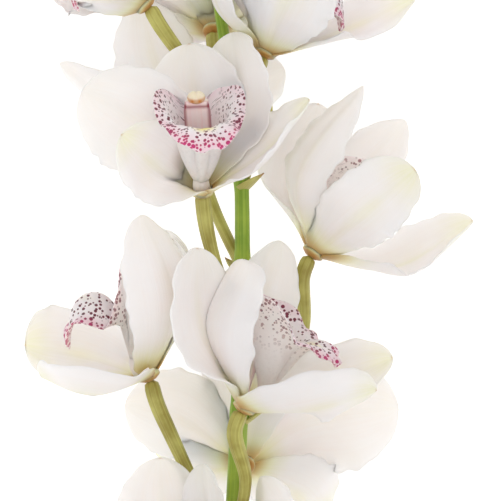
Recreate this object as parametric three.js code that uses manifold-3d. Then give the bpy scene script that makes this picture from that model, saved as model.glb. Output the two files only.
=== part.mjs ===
// A cut cymbidium orchid stem lying on a surface: one green flower stalk with a bract at every node, open
// white blooms on olive pedicels, and buds at the tip. Millimetres. +Y runs along the stalk towards its
// tip, +Z is up, and the origin lies under the middle of the whole stem, on the surface.
import * as THREE from "three";
import { mergeVertices } from "three/addons/utils/BufferGeometryUtils.js";
import Module from "manifold-3d";

const wasm = await Module();
wasm.setup();

const V = (x, y, z) => new THREE.Vector3(x, y, z);
const degrees = Math.PI / 180;

// ---- driving dimensions ----
const petalThickness = 1.1;
const lipThickness = 1.2;
const seat = 0.3; // gap between pieces that touch
const tepalRows = 5;
const tepalColumns = 3;
const lipRows = 6;
const lipColumns = 6;

const stalk = {
  // centre line, from the cut end to the tip, with the radius there
  path: [
    [-14, -400, -80], [-10, -300, -43], [-6, -210, -13], [-3, -130, 0], [0, -60, 0],
    [1, 0, 0], [0, 40, -2], [-5, 80, -9], [-11, 120, -16], [-16, 160, -18], [-19, 192, -18],
  ],
  cutRadius: 5.4,
  tipRadius: 1.8,
  sides: 8,
  rings: 20,
};

const tepal = {
  width: 44,
  widest: 0.58, // where the blade is widest, from root to tip
  claw: 0.24, // width of the root, as a share
  bluntness: 1.9,
  cup: [34, 26], // half angle of the arc across the blade, at root and tip
  roll: 0, // turn of the blade about its own midrib
  ruffle: 1.4,
  waves: 1.3,
};

// A plain bloom's tepals: how far forward, up and right of the ovary's top each midrib's middle and tip
// lie, in the bloom's own axes.
const plainWhorl = {
  dorsal: { via: [20, 29, 0], tip: [46, 46, 0] },
  petalRight: { via: [24, 18, 25], tip: [54, 24, 38], width: 46 },
  petalLeft: { via: [24, 18, -25], tip: [54, 24, -38], width: 46 },
  sepalRight: { via: [18, -17, 25], tip: [42, -26, 44] },
  sepalLeft: { via: [18, -17, -25], tip: [42, -26, -44] },
};

// The lip is a trumpet round its own axis, slit open along its top. Angles are in degrees, and the last
// five values are shares of its length.
const lip = {
  dip: 0, // how far the axis points below the bloom's
  yaw: 0, // how far it points to the bloom's right
  roll: 0, // turn about the axis
  length: 48,
  breadth: 0.72, // the mouth is narrower than it is high
  widening: [12, 38], // slope of the throat's wall, below and at the slit
  bend: [0.52, 1], // where along the wall the lobes begin to turn out, and where they end
  flare: 76,
  earFlare: 44, // the erect side lobes turn out this far
  recurve: 122, // and the middle lobe this far
  wrap: [92, 160], // half angle of the wall round the axis, at base and rim
  wrapEnd: 0.85,
  ruffle: 0.9,
  reach: 0.14, // the middle lobe is longer
  ears: 0, // the side lobes are longer
  notch: 0.07, // between the lobes
  edge: 0.22, // the corners at the slit are cut back
};
const shortLip = {
  length: 49,
  breadth: 0.62,
  wrap: [92, 135],
  wrapEnd: 0.8,
  reach: 0,
  edge: 0.14,
};
const hangingLip = {
  dip: -14,
  length: 44,
  breadth: 0.66,
  widening: [6, 36],
  bend: [0.32, 0.85],
  flare: 84,
  recurve: 166,
  wrapEnd: 0.9,
  reach: 0.58,
  ears: 0.16,
};

// Each bloom: how far along the stalk its pedicel leaves, a point the pedicel bends through if it does,
// the top of its ovary, the way it faces and its upper side. A tepal given here has its midrib's middle
// and tip as offsets from the ovary's top in X, Y and Z; the others are the plain bloom's.
const blooms = [
  {
    name: "bloom_01",
    node: -212,
    at: [-30, -159, 14],
    facing: [-0.15, 0.82, 0.55],
    up: [0, 0.55, -0.8],
    dorsal: { via: [-3, 34, -12], tip: [-5, 68, -10] },
    petalRight: { via: [14, 34, 0], tip: [14, 66, 0], width: 24, roll: 20 },
    petalLeft: { via: [-28, 26, 6], tip: [-50, 44, 6], width: 48 },
  },
  {
    name: "bloom_02",
    node: -196,
    at: [23, -166, 4],
    facing: [0.5, 0.85, 0.2],
    up: [-0.85, 0.5, 0],
    dorsal: { via: [-14, 30, -8], tip: [-8, 60, -6] },
    petalLeft: { via: [-8, 36, 14], tip: [-14, 67, 6] },
    petalRight: { via: [14, 28, -22], tip: [24, 46, -30] },
  },
  {
    name: "bloom_03",
    node: -126,
    at: [0.6, -70, 22],
    facing: [0.52, 0.85, 0.1],
    up: [-0.85, 0.52, 0],
    dorsal: { via: [-18, 40, 14], tip: [-19, 71, 12], roll: -60, width: 46 },
    petalLeft: { via: [-11, 36, 20], tip: [1, 66, 16], bluntness: 3.2, width: 46 },
    petalRight: { via: [5, 33, -18], tip: [17, 74, -17], width: 34, cup: [18, 15] },
    sepalLeft: { via: [30, 3, 20], tip: [58, 10, 12], width: 42, claw: 0.4 },
    sepalRight: { via: [37, 9, -16], tip: [66, 21, -10] },
    lip: { ...shortLip, dip: -3, yaw: -7, flare: 82 },
  },
  {
    name: "bloom_04",
    node: -135,
    bend: [-28, -84, 2],
    at: [-39, -57, 8],
    facing: [-0.4, 0.9, 0.1],
    up: [0.9, 0.4, 0],
    dorsal: { via: [9, 28, -19], tip: [9, 62, -18] },
    petalRight: { via: [7, 35, 27], tip: [-5, 72, 22], width: 42 },
    petalLeft: { via: [6, 35, -24], tip: [4, 66, -26] },
    sepalRight: { via: [-25, -4, 24], tip: [-47, 2, 12], roll: -10, claw: 0.4, width: 47 },
    sepalLeft: { via: [-29, 10, -22], tip: [-56, 15, -12], bluntness: 2.6 },
    lip: { ...hangingLip, yaw: 3 },
  },
  {
    name: "bloom_05",
    node: -142,
    at: [1.3, -97, -16],
    facing: [0.1, 0.55, -0.83],
    up: [0, 0.83, 0.55],
    petalLeft: { via: [27, 20, -14], tip: [70, 26, -16], width: 52 },
    petalRight: { via: [-28, 20, -14], tip: [-53, 28, -20] },
    sepalLeft: { via: [22, -12, -26], tip: [36, -26, -48] },
  },
  {
    name: "bloom_06",
    node: -72,
    bend: [27, -38, -12],
    at: [31, -3, -8],
    facing: [0.58, 0.81, -0.1],
    up: [-0.81, 0.58, 0],
    dorsal: { via: [-8, 28, -23], tip: [4, 69, -21], roll: -25, width: 42 },
    petalLeft: { via: [-5, 34, 17], tip: [23, 75, 12], width: 27, roll: 15 },
    petalRight: { via: [16, 28, -32], tip: [41, 57, -36] },
    sepalLeft: { via: [22, 17, 29], tip: [47, 36, 25], claw: 0.4 },
    sepalRight: { via: [39, -5, -20], tip: [73, 16, -12], claw: 0.5 },
    lip: { ...shortLip, dip: -6 },
  },
  {
    name: "bloom_07",
    node: -28,
    at: [-16.2, 24, 18],
    facing: [-0.06, 0.8, 0.6],
    up: [0.02, 0.6, -0.8],
    dorsal: { via: [-2, 32, -9], tip: [-6, 66, -5], width: 46 },
    petalLeft: { via: [-28, 31, 4], tip: [-52, 45, 4], width: 50 },
    petalRight: { via: [15, 42, -4], tip: [13, 71, -8] },
    sepalLeft: { via: [-22, 10, 14], tip: [-31, 24, 30], roll: -55, claw: 0.5, width: 33 },
    sepalRight: { via: [29, 20, 14], tip: [46, 40, 22], claw: 0.5, width: 39 },
    lip: { yaw: 4, roll: 8, wrap: [92, 166] },
  },
  {
    name: "bloom_08",
    node: -6,
    at: [-22, 52, -31],
    facing: [-0.2, 0.42, -0.88],
    up: [0, 0.9, 0.43],
    dorsal: { via: [-16, 31, -1], tip: [-23, 59, 1], width: 40 },
    petalRight: { via: [-32, 8, -14], tip: [-57, 27, -12], width: 36 },
    petalLeft: { via: [23, 20, -16], tip: [42, 31, -20], width: 38 },
    sepalRight: { via: [-20, -6, -25], tip: [-33, -2, -47] },
    sepalLeft: { via: [15, -2, -27], tip: [26, 6, -52] },
    lip: { breadth: 0.68, wrap: [92, 150] },
  },
  {
    name: "bloom_09",
    node: 31,
    bend: [11.5, 60, 3],
    at: [9.7, 84.5, 6],
    facing: [0.45, 0.88, -0.1],
    up: [-0.88, 0.45, 0],
    dorsal: { via: [-20, 25, 4], tip: [-9, 68, 4], cup: [22, 18] },
    petalLeft: { via: [-8, 33, 20], tip: [6, 72, 14], width: 38, roll: 10 },
    petalRight: { via: [11, 32, -32], tip: [29, 64, -34] },
    sepalLeft: { via: [9, 21, 28], tip: [23, 47, 28], claw: 0.4 },
    sepalRight: { via: [36, 12, -18], tip: [68, 27, -10], width: 42, claw: 0.5 },
    lip: { ...hangingLip, yaw: -4, length: 42 },
  },
  {
    name: "bloom_10",
    node: 54,
    bend: [-20, 78, -8],
    at: [-39.6, 106.5, 2],
    facing: [-0.75, 0.64, 0.1],
    up: [0.64, 0.75, 0],
    dorsal: { via: [3, 29, -8], tip: [-5, 63, -4] },
    petalRight: { via: [-4, 33, 28], tip: [-22, 69, 25], width: 38 },
    petalLeft: { via: [-4, 34, -24], tip: [-13, 65, -24] },
    sepalRight: { via: [-24, 3, 24], tip: [-46, 5, 12], roll: -10, claw: 0.4 },
    sepalLeft: { via: [-28, 14, -22], tip: [-52, 22, -12] },
    lip: { ...hangingLip, reach: 0.22 },
  },
  {
    name: "bloom_11",
    node: 70,
    at: [-12, 97, -33],
    facing: [0.05, 0.8, -0.6],
    up: [0, 0.6, 0.8],
    dorsal: { via: [0, 31, 3], tip: [2, 62, -2], width: 46 },
  },
];

const buds = [
  { name: "bud_01", node: 118, at: [8, 172, 4], facing: [0.25, 0.95, 0.1], length: 36 },
  { name: "bud_02", node: 130, at: [-38, 182, -12], facing: [-0.3, 0.95, 0.1], length: 31 },
  { name: "bud_03", node: 150, at: [-12, 190, -32], facing: [0.1, 0.9, -0.4], length: 27 },
];

const column = { length: 45, halfWidth: 5.8, halfHeight: 4.2, rise: 9 };
const pedicel = { radius: 2.6, ovaryRadius: 3.4, budRadius: 2.4 };
const bract = { length: 11, halfWidth: 5, thickness: 0.8, cup: 50 };
const pressed = 2.1; // how much of the lowest edges the surface presses flat

// ---- mesh helpers ----
function solidOf(points, triangles) {
  const geometry = new THREE.BufferGeometry();
  geometry.setAttribute("position", new THREE.Float32BufferAttribute(points.flatMap((p) => p.toArray()), 3));
  geometry.setIndex(triangles);
  const merged = mergeVertices(geometry, 1e-4);
  const mesh = new wasm.Mesh({
    numProp: 3,
    vertProperties: merged.attributes.position.array,
    triVerts: new Uint32Array(merged.index.array),
  });
  return new wasm.Manifold(mesh);
}

// A blade: the grid of its middle surface, thickened along its own normals and closed round the rim.
function bladeSolid(grid, thickness) {
  const rows = grid.length;
  const columns = grid[0].length;
  const normalAt = (i, j) => {
    const along = grid[Math.min(i + 1, rows - 1)][j].clone().sub(grid[Math.max(i - 1, 0)][j]);
    const across = grid[i][Math.min(j + 1, columns - 1)].clone().sub(grid[i][Math.max(j - 1, 0)]);
    return along.cross(across).normalize();
  };
  const points = [];
  for (const side of [0.5, -0.5])
    for (let i = 0; i < rows; i++)
      for (let j = 0; j < columns; j++)
        points.push(grid[i][j].clone().addScaledVector(normalAt(i, j), side * thickness));
  const front = (i, j) => i * columns + j;
  const back = (i, j) => rows * columns + i * columns + j;
  const triangles = [];
  for (let i = 0; i + 1 < rows; i++)
    for (let j = 0; j + 1 < columns; j++) {
      const [a, b, c, d] = [[i, j], [i + 1, j], [i + 1, j + 1], [i, j + 1]];
      const halves = j < (columns - 1) / 2 ? [[a, b, c], [a, c, d]] : [[a, b, d], [b, c, d]];
      for (const [p, q, r] of halves) {
        triangles.push(front(...p), front(...q), front(...r));
        triangles.push(back(...p), back(...r), back(...q));
      }
    }
  const rim = [];
  for (let j = 0; j + 1 < columns; j++) rim.push([0, j]);
  for (let i = 0; i + 1 < rows; i++) rim.push([i, columns - 1]);
  for (let j = columns - 1; j > 0; j--) rim.push([rows - 1, j]);
  for (let i = rows - 1; i > 0; i--) rim.push([i, 0]);
  rim.forEach((p, k) => {
    const q = rim[(k + 1) % rim.length];
    triangles.push(front(...p), front(...q), back(...q), front(...p), back(...q), back(...p));
  });
  return solidOf(points, triangles);
}

// A round or oval stem through rings given as {centre, side, top} half axes.
function sweepSolid(rings, sides) {
  const points = [];
  for (const { centre, side, top } of rings)
    for (let k = 0; k < sides; k++) {
      const a = (2 * Math.PI * k) / sides;
      points.push(centre.clone().addScaledVector(side, Math.cos(a)).addScaledVector(top, Math.sin(a)));
    }
  const triangles = [];
  for (let i = 0; i + 1 < rings.length; i++)
    for (let k = 0; k < sides; k++) {
      const a = i * sides + k;
      const b = i * sides + ((k + 1) % sides);
      triangles.push(a, b, b + sides, a, b + sides, a + sides);
    }
  const last = (rings.length - 1) * sides;
  for (let k = 1; k + 1 < sides; k++) {
    triangles.push(0, k + 1, k);
    triangles.push(last, last + k, last + k + 1);
  }
  return solidOf(points, triangles);
}

function sweepAlong(curve, radiusAt, steps, sides) {
  const frames = curve.computeFrenetFrames(steps, false);
  const rings = [];
  for (let i = 0; i <= steps; i++) {
    const r = radiusAt(i / steps);
    rings.push({
      centre: curve.getPointAt(i / steps),
      side: frames.normals[i].clone().multiplyScalar(r),
      top: frames.binormals[i].clone().multiplyScalar(r),
    });
  }
  return sweepSolid(rings, sides);
}

// ---- shapes ----
function frameOf(bloom) {
  const facing = V(...bloom.facing).normalize();
  const right = V(...bloom.up).cross(facing).normalize();
  return { at: V(...bloom.at), facing, right, up: facing.clone().cross(right) };
}

const smooth = (low, high, x) => {
  const t = Math.min(1, Math.max(0, (x - low) / (high - low)));
  return t * t * (3 - 2 * t);
};

function outline(t, { widest, claw, bluntness }) {
  if (t < widest) return claw + (1 - claw) * Math.sin((Math.PI / 2) * (t / widest)) ** 1.35;
  const x = (t - widest) / (1 - widest);
  return Math.max(0.04, (1 - x ** bluntness) ** (1 / bluntness));
}

function tepalGrid(frame, spec, rows = tepalRows, columns = tepalColumns) {
  const s = { ...tepal, ...spec };
  const side0 = s.via.clone().addScaledVector(frame.facing, -s.via.dot(frame.facing)).normalize();
  const root = side0.clone().multiplyScalar(2).addScaledVector(frame.facing, s.root);
  const midrib = new THREE.CatmullRomCurve3([root, s.via, s.tip], false, "centripetal");
  const axisPoint = frame.facing.clone().multiplyScalar(34);
  const grid = [];
  for (let i = 0; i <= rows; i++) {
    const t = 1 - (1 - i / rows) ** 1.3;
    const centre = midrib.getPointAt(t);
    const along = midrib.getTangentAt(t);
    // the inner face looks at the bloom's own axis
    const inward = axisPoint.clone().sub(centre);
    inward.addScaledVector(along, -inward.dot(along)).normalize();
    const top = inward.clone().applyAxisAngle(along, s.roll * smooth(0.1, 0.5, t) * degrees);
    const side = top.clone().cross(along);
    const half = (s.width / 2) * outline(t, s);
    const arc = Math.max(0.5, s.cup[0] + (s.cup[1] - s.cup[0]) * t) * degrees;
    const row = [];
    for (let j = 0; j <= columns; j++) {
      const u = (2 * j) / columns - 1;
      const phase = 2 * Math.PI * s.waves * t + (u > 0 ? 2.2 : 0) + s.width;
      const wave = s.ruffle * ((2 * half) / s.width) * u * u * Math.sin(phase);
      row.push(
        frame.at.clone()
          .add(centre)
          .addScaledVector(side, (half * Math.sin(arc * u)) / arc)
          .addScaledVector(top, (half * (1 - Math.cos(arc * u))) / arc + wave),
      );
    }
    grid.push(row);
  }
  return grid;
}

// The five tepals of a bloom, each with its own midrib or the plain bloom's, as offsets from the ovary's top.
function tepalsOf(bloom, frame) {
  const inAxes = ([forward, up, right]) =>
    frame.facing.clone()
      .multiplyScalar(forward)
      .addScaledVector(frame.up, up)
      .addScaledVector(frame.right, right);
  return Object.entries(plainWhorl).map(([key, plain]) => {
    const own = bloom[key];
    const via = own ? V(...own.via) : inAxes(plain.via);
    const tip = own ? V(...own.tip) : inAxes(plain.tip);
    // the petals stand inside the sepals, so they are rooted a little further forward
    return { root: key.startsWith("petal") ? 3.5 : 1.5, ...plain, ...own, via, tip };
  });
}

// The lip, with the column lying in its slit: two erect side lobes flare from the throat, and the middle
// lobe turns back under its own front edge.
function lipGrid(frame, spec = {}, rows = lipRows, columns = lipColumns) {
  const s = { ...lip, ...spec };
  const axis = frame.facing.clone();
  const side = frame.right.clone();
  const top = frame.up.clone();
  const turn = (from, towards, angle) => {
    const [cos, sin] = [Math.cos(angle * degrees), Math.sin(angle * degrees)];
    const turned = from.clone().multiplyScalar(cos).addScaledVector(towards, sin);
    towards.multiplyScalar(cos).addScaledVector(from, -sin);
    from.copy(turned);
  };
  turn(axis, top, -s.dip);
  turn(axis, side, s.yaw);
  turn(side, top, s.roll);
  const start = frame.at.clone().addScaledVector(frame.facing, 7.6).addScaledVector(frame.up, -2.5);
  const grid = [];
  for (let i = 0; i <= rows; i++) grid.push([]);
  for (let j = 0; j <= columns; j++) {
    const u = (2 * j) / columns - 1; // -1 and 1 are the two edges of the slit
    const far = Math.abs(u);
    const middle = Math.exp(-((u / 0.42) ** 2));
    const notch = Math.exp(-(((far - 0.45) / 0.12) ** 2));
    const lobes = s.reach * middle + s.ears * smooth(0.45, 0.65, far);
    const length = s.length * (1 + lobes - s.notch * notch - s.edge * smooth(0.72, 1, far));
    const slope = s.widening[0] + (s.widening[1] - s.widening[0]) * smooth(0.3, 1, far);
    const front = s.flare + (s.recurve - s.flare) * middle;
    const flare = front + (s.earFlare - front) * smooth(0.5, 0.8, far);
    const wave = s.ruffle * Math.sin(9 * u * Math.PI + 0.6);
    let along = 0;
    let out = 2.2;
    let t = 0;
    for (let i = 0; i <= rows; i++) {
      const next = i / rows;
      const subSteps = 8;
      for (let k = 0; k < subSteps; k++) {
        const part = (next - t) / subSteps;
        const angle = (slope + (flare - slope) * smooth(...s.bend, t + (k + 0.5) * part)) * degrees;
        along += Math.cos(angle) * length * part;
        out += Math.sin(angle) * length * part;
      }
      t = next;
      const round = u * (s.wrap[0] + (s.wrap[1] - s.wrap[0]) * smooth(0, s.wrapEnd, t)) * degrees;
      const away = out + wave * t ** 4 * 0.4;
      grid[i].push(
        start.clone()
          .addScaledVector(axis, along + wave * t ** 4)
          .addScaledVector(side, s.breadth * away * Math.sin(round))
          .addScaledVector(top, -away * Math.cos(round)),
      );
    }
  }
  return grid;
}

const materials = {
  petal: new THREE.MeshStandardMaterial({ color: 0xf3eee8, roughness: 0.5, metalness: 0 }),
  lip: new THREE.MeshStandardMaterial({ color: 0xf0d2d8, roughness: 0.5, metalness: 0 }),
  column: new THREE.MeshStandardMaterial({ color: 0xf0dcc8, roughness: 0.5, metalness: 0 }),
  pedicel: new THREE.MeshStandardMaterial({ color: 0xa9a55a, roughness: 0.5, metalness: 0 }),
  bud: new THREE.MeshStandardMaterial({ color: 0xe6e3b8, roughness: 0.5, metalness: 0 }),
  stalk: new THREE.MeshStandardMaterial({ color: 0x7fa63c, roughness: 0.45, metalness: 0 }),
};

const stalkCurve = new THREE.CatmullRomCurve3(stalk.path.map((p) => V(...p)), false, "centripetal");
const stalkRadius = (t) => stalk.cutRadius + (stalk.tipRadius - stalk.cutRadius) * t ** 1.5;

function stalkPointAt(y) {
  let [low, high] = [0, 1];
  for (let k = 0; k < 30; k++) {
    const middle = (low + high) / 2;
    if (stalkCurve.getPointAt(middle).y < y) low = middle;
    else high = middle;
  }
  return { t: low, point: stalkCurve.getPointAt(low), radius: stalkRadius(low) };
}

// The pedicel starts inside the stalk and ends inside the cup, and is cut back to a gap by both.
function pedicelCurve(bloom, frame) {
  const start = stalkPointAt(bloom.node);
  const end = frame.at.clone();
  const outwards = end.clone().sub(start.point).setY(0).normalize();
  const span = end.distanceTo(start.point);
  const arrive = frame.facing.clone().add(V(0, 0.7, 0)).normalize();
  const leave = outwards.clone().add(V(0, 1.1, 0)).normalize();
  const first = start.point.clone().addScaledVector(outwards, start.radius * 0.4);
  const last = end.clone().addScaledVector(arrive, 0.8);
  if (bloom.bend) {
    const points = [first, V(...bloom.bend), end.clone().addScaledVector(arrive, -9), last];
    return new THREE.CatmullRomCurve3(points, false, "centripetal");
  }
  return new THREE.CubicBezierCurve3(
    first,
    first.clone().addScaledVector(leave, span * 0.35),
    end.clone().addScaledVector(arrive, -span * 0.35),
    last,
  );
}

// The scale-like bract under each pedicel, sunk into the stalk at its base and cupped round the pedicel.
function bractGrid(item, rows = 2, columns = 2) {
  const start = stalkPointAt(item.node);
  const outwards = V(...item.at).sub(start.point).setY(0).normalize();
  const leave = outwards.clone().add(V(0, 1.1, 0)).normalize();
  const away = outwards.clone().addScaledVector(leave, -outwards.dot(leave)).normalize();
  const surface = start.point.clone().addScaledVector(outwards, start.radius);
  const midrib = new THREE.CatmullRomCurve3([
    start.point.clone().addScaledVector(outwards, start.radius - 1.2).add(V(0, -bract.length * 0.45, 0)),
    surface.clone().addScaledVector(away, pedicel.radius + 1.3).addScaledVector(leave, bract.length * 0.2),
    surface.clone().addScaledVector(away, pedicel.radius + 2.6).addScaledVector(leave, bract.length * 0.75),
  ]);
  const grid = [];
  for (let i = 0; i <= rows; i++) {
    const t = i / rows;
    const along = midrib.getTangentAt(t);
    const centre = midrib.getPointAt(t);
    const top = away.clone().negate();
    top.addScaledVector(along, -top.dot(along)).normalize();
    const side = top.clone().cross(along);
    const half = bract.halfWidth * Math.max(0.08, 1 - t ** 1.6);
    const row = [];
    for (let j = 0; j <= columns; j++) {
      const u = (2 * j) / columns - 1;
      const arc = bract.cup * degrees;
      row.push(
        centre.clone()
          .addScaledVector(side, (half * Math.sin(arc * u)) / arc)
          .addScaledVector(top, (half * (1 - Math.cos(arc * u))) / arc),
      );
    }
    grid.push(row);
  }
  return grid;
}

// The cup that holds a bloom's tepals together over the ovary, made larger all round to cut its seat.
function cupSolid(frame, grow) {
  const radii = [3.2, 4.6, 4.8, 3.6];
  const rings = [-grow, 2, 4.5, 7 + grow].map((forward, i) => ({
    centre: frame.at.clone().addScaledVector(frame.facing, forward),
    side: frame.right.clone().multiplyScalar(radii[i] + grow),
    top: frame.up.clone().multiplyScalar(radii[i] + grow),
  }));
  return sweepSolid(rings, 8);
}

// The column arches out over the lip's throat and ends in a blunt cap.
function columnSolid(frame) {
  const sizes = [0.62, 0.8, 1, 0.95, 0.5];
  const rings = [0, 0.3, 0.7, 0.93, 1].map((t, i) => ({
    centre: frame.at.clone()
      .addScaledVector(frame.facing, 7.4 + (column.length - 7.4) * t)
      .addScaledVector(frame.up, 2 + column.rise * t ** 0.8 - 3 * Math.max(0, t - 0.7)),
    side: frame.right.clone().multiplyScalar(column.halfWidth * sizes[i]),
    top: frame.up.clone().multiplyScalar(column.halfHeight * sizes[i]),
  }));
  return sweepSolid(rings, 8);
}

// A bud is a pointed egg on the end of its own pedicel.
function budSolid(bud, frame, grow) {
  const sizes = [0.3, 0.55, 0.86, 1, 0.88, 0.58, 0.28, 0.08];
  const rings = [0, 0.06, 0.2, 0.42, 0.65, 0.85, 0.96, 1].map((t, i) => {
    const size = (sizes[i] * bud.length) / 4 + grow;
    return {
      centre: frame.at.clone().addScaledVector(frame.facing, bud.length * t - (i === 0 ? grow : 0)),
      side: frame.right.clone().multiplyScalar(size),
      top: frame.up.clone().multiplyScalar(size * 0.92),
    };
  });
  return sweepSolid(rings, 10);
}

function stalkBody(grow) {
  return sweepAlong(stalkCurve, (t) => stalkRadius(t) + grow, stalk.rings, stalk.sides);
}

// A pedicel swells into the ovary under a bloom; under a bud it stays thin.
function pedicelSolid(item, frame, endRadius, top) {
  const radiusAt = (t) => {
    const r = pedicel.radius + (endRadius - pedicel.radius) * smooth(0.3, 0.9, t);
    return r * (1 - 0.3 * smooth(0.93, 1, t));
  };
  return sweepAlong(pedicelCurve(item, frame), radiusAt, 6, 6).subtract(stalkBody(seat)).subtract(top);
}

// ---- the pieces ----
const pieces = [];

for (const bloom of blooms) {
  const frame = frameOf(bloom);
  const blades = tepalsOf(bloom, frame).map((spec) => bladeSolid(tepalGrid(frame, spec), petalThickness));
  const tepals = wasm.Manifold.union([...blades, cupSolid(frame, 0)]);
  const lipBlade = bladeSolid(lipGrid(frame, bloom.lip), lipThickness);
  const holder = pedicelSolid(bloom, frame, pedicel.ovaryRadius, cupSolid(frame, seat));
  pieces.push([`${bloom.name}_tepals`, tepals, materials.petal]);
  pieces.push([`${bloom.name}_lip`, lipBlade, materials.lip]);
  pieces.push([`${bloom.name}_column`, columnSolid(frame), materials.column]);
  pieces.push([`${bloom.name}_pedicel`, holder, materials.pedicel]);
}

for (const bud of buds) {
  const frame = frameOf({ ...bud, up: [0, 0, 1] });
  const holder = pedicelSolid(bud, frame, pedicel.budRadius, budSolid(bud, frame, seat));
  pieces.push([bud.name, budSolid(bud, frame, 0), materials.bud]);
  pieces.push([`${bud.name}_pedicel`, holder, materials.pedicel]);
}

const bracts = [...blooms, ...buds].map((item) => bladeSolid(bractGrid(item), bract.thickness));
pieces.push(["stalk", wasm.Manifold.union([stalkBody(0), ...bracts]), materials.stalk]);

// the stem is set down with the middle of its box over the origin, its lowest edges pressed flat
const box = new THREE.Box3();
for (const [, solid] of pieces) {
  const { min, max } = solid.boundingBox();
  box.expandByPoint(V(...min)).expandByPoint(V(...max));
}
const floor = box.min.z + pressed;
const shift = [-(box.min.x + box.max.x) / 2, -(box.min.y + box.max.y) / 2, -floor];

const stem = new THREE.Group();
for (const [name, solid, material] of pieces) {
  const { vertProperties, triVerts } = solid.trimByPlane([0, 0, 1], floor).translate(shift).getMesh();
  const geometry = new THREE.BufferGeometry();
  geometry.setAttribute("position", new THREE.BufferAttribute(vertProperties, 3));
  geometry.setIndex(new THREE.BufferAttribute(triVerts, 1));
  geometry.computeVertexNormals();
  const mesh = new THREE.Mesh(geometry, material);
  mesh.name = name;
  stem.add(mesh);
}

export default stem;
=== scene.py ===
# A cut cymbidium orchid stem lying on a pale table: waxy white blooms with spotted lips, olive pedicels and
# closed buds.
# Shapes are worked out in millimetres along the stalk, and inFrame puts a point in the frame, in metres.
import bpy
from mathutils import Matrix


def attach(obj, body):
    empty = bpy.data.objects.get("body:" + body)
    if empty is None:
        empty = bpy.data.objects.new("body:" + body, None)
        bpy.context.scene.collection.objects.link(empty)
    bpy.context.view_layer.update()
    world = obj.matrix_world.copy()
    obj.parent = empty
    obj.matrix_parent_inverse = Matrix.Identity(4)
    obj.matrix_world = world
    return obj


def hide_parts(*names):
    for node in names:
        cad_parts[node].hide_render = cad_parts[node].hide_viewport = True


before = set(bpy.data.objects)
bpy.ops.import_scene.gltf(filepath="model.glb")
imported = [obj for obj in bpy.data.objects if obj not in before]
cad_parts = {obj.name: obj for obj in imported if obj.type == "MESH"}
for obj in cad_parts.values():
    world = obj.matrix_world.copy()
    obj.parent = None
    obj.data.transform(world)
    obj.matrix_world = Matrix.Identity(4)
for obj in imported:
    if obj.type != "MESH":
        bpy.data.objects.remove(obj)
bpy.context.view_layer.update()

import math
import random

import bpy
from mathutils import Quaternion, Vector

degrees = math.pi / 180
stemShift = Vector((-4.543, 93.56, 83.324))  # from the stalk's own middle to the frame's origin
pressed = {"height": 0.0008, "softness": 0.002}  # what would sink in is pressed flat on the table, in metres
draw = random.Random(11)


def inFrame(p):
    q = (p + stemShift) * 0.001
    height = pressed["height"]
    if q.z < height:
        q.z = height * math.exp((q.z - height) / pressed["softness"])
    return q


def smooth(low, high, x):
    t = min(1, max(0, (x - low) / (high - low)))
    return t * t * (3 - 2 * t)


def bump(x, middle, width):
    return math.exp(-(((x - middle) / width) ** 2))


class Path:
    def __init__(self, points):
        self.points = points
        self.reach = [0]
        for a, b in zip(points, points[1:]):
            self.reach.append(self.reach[-1] + (b - a).length)

    def at(self, t):
        want = min(1, max(0, t)) * self.reach[-1]
        low, high = 0, len(self.reach) - 1
        while high - low > 1:
            middle = (low + high) // 2
            if self.reach[middle] < want:
                low = middle
            else:
                high = middle
        part = (want - self.reach[low]) / max(1e-9, self.reach[high] - self.reach[low])
        return self.points[low].lerp(self.points[high], part)

    def direction(self, t):
        return (self.at(min(1, t + 0.01)) - self.at(max(0, t - 0.01))).normalized()


def splinePath(knots, steps=40):
    knots = [Vector(k) for k in knots]
    ends = [knots[0] * 2 - knots[1]] + knots + [knots[-1] * 2 - knots[-2]]
    points = []
    for i in range(1, len(ends) - 2):
        a, b, c, d = ends[i - 1 : i + 3]
        ab, bc, cd = [max(1e-4, (q - p).length ** 0.5) for p, q in ((a, b), (b, c), (c, d))]
        leave = ((b - a) / ab - (c - a) / (ab + bc) + (c - b) / bc) * bc
        arrive = ((c - b) / bc - (d - b) / (bc + cd) + (d - c) / cd) * bc
        for k in range(steps):
            t = k / steps
            points.append(
                b
                + leave * t
                + (c * 3 - b * 3 - leave * 2 - arrive) * t**2
                + (b * 2 - c * 2 + leave + arrive) * t**3
            )
    return Path(points + [knots[-1]])


def bezierPath(a, b, c, d, steps=60):
    points = []
    for k in range(steps + 1):
        t = k / steps
        s = 1 - t
        points.append(a * s**3 + b * (3 * s * s * t) + c * (3 * s * t * t) + d * t**3)
    return Path(points)


def addGrid(rows, columns, pointAt):
    # pointAt(row, column) gives a place in millimetres
    bpy.ops.object.select_all(action="DESELECT")
    bpy.ops.mesh.primitive_grid_add(x_subdivisions=columns, y_subdivisions=rows, size=2)
    piece = bpy.context.object
    for k, v in enumerate(piece.data.vertices):
        v.co = inFrame(pointAt(k // (columns + 1), k % (columns + 1)))
    return piece


def addTube(rings, sides, pointAt):
    # a ball drawn out into a closed tube: pointAt(t, angle), with t from 0 at the foot to 1 at the tip
    bpy.ops.object.select_all(action="DESELECT")
    bpy.ops.mesh.primitive_uv_sphere_add(segments=sides, ring_count=rings, radius=1)
    piece = bpy.context.object
    for v in piece.data.vertices:
        ring = round(math.acos(max(-1, min(1, -v.co.z))) / math.pi * rings)
        v.co = inFrame(pointAt(ring / rings, math.atan2(v.co.y, v.co.x)))
    return piece


def tint(piece, colourAt):
    # red, green and blue of the attribute are three amounts that the materials read
    layer = piece.data.color_attributes.new(name="tint", type="FLOAT_COLOR", domain="POINT")
    for k, v in enumerate(piece.data.vertices):
        layer.data[k].color = (*colourAt(k), 1)


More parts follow.
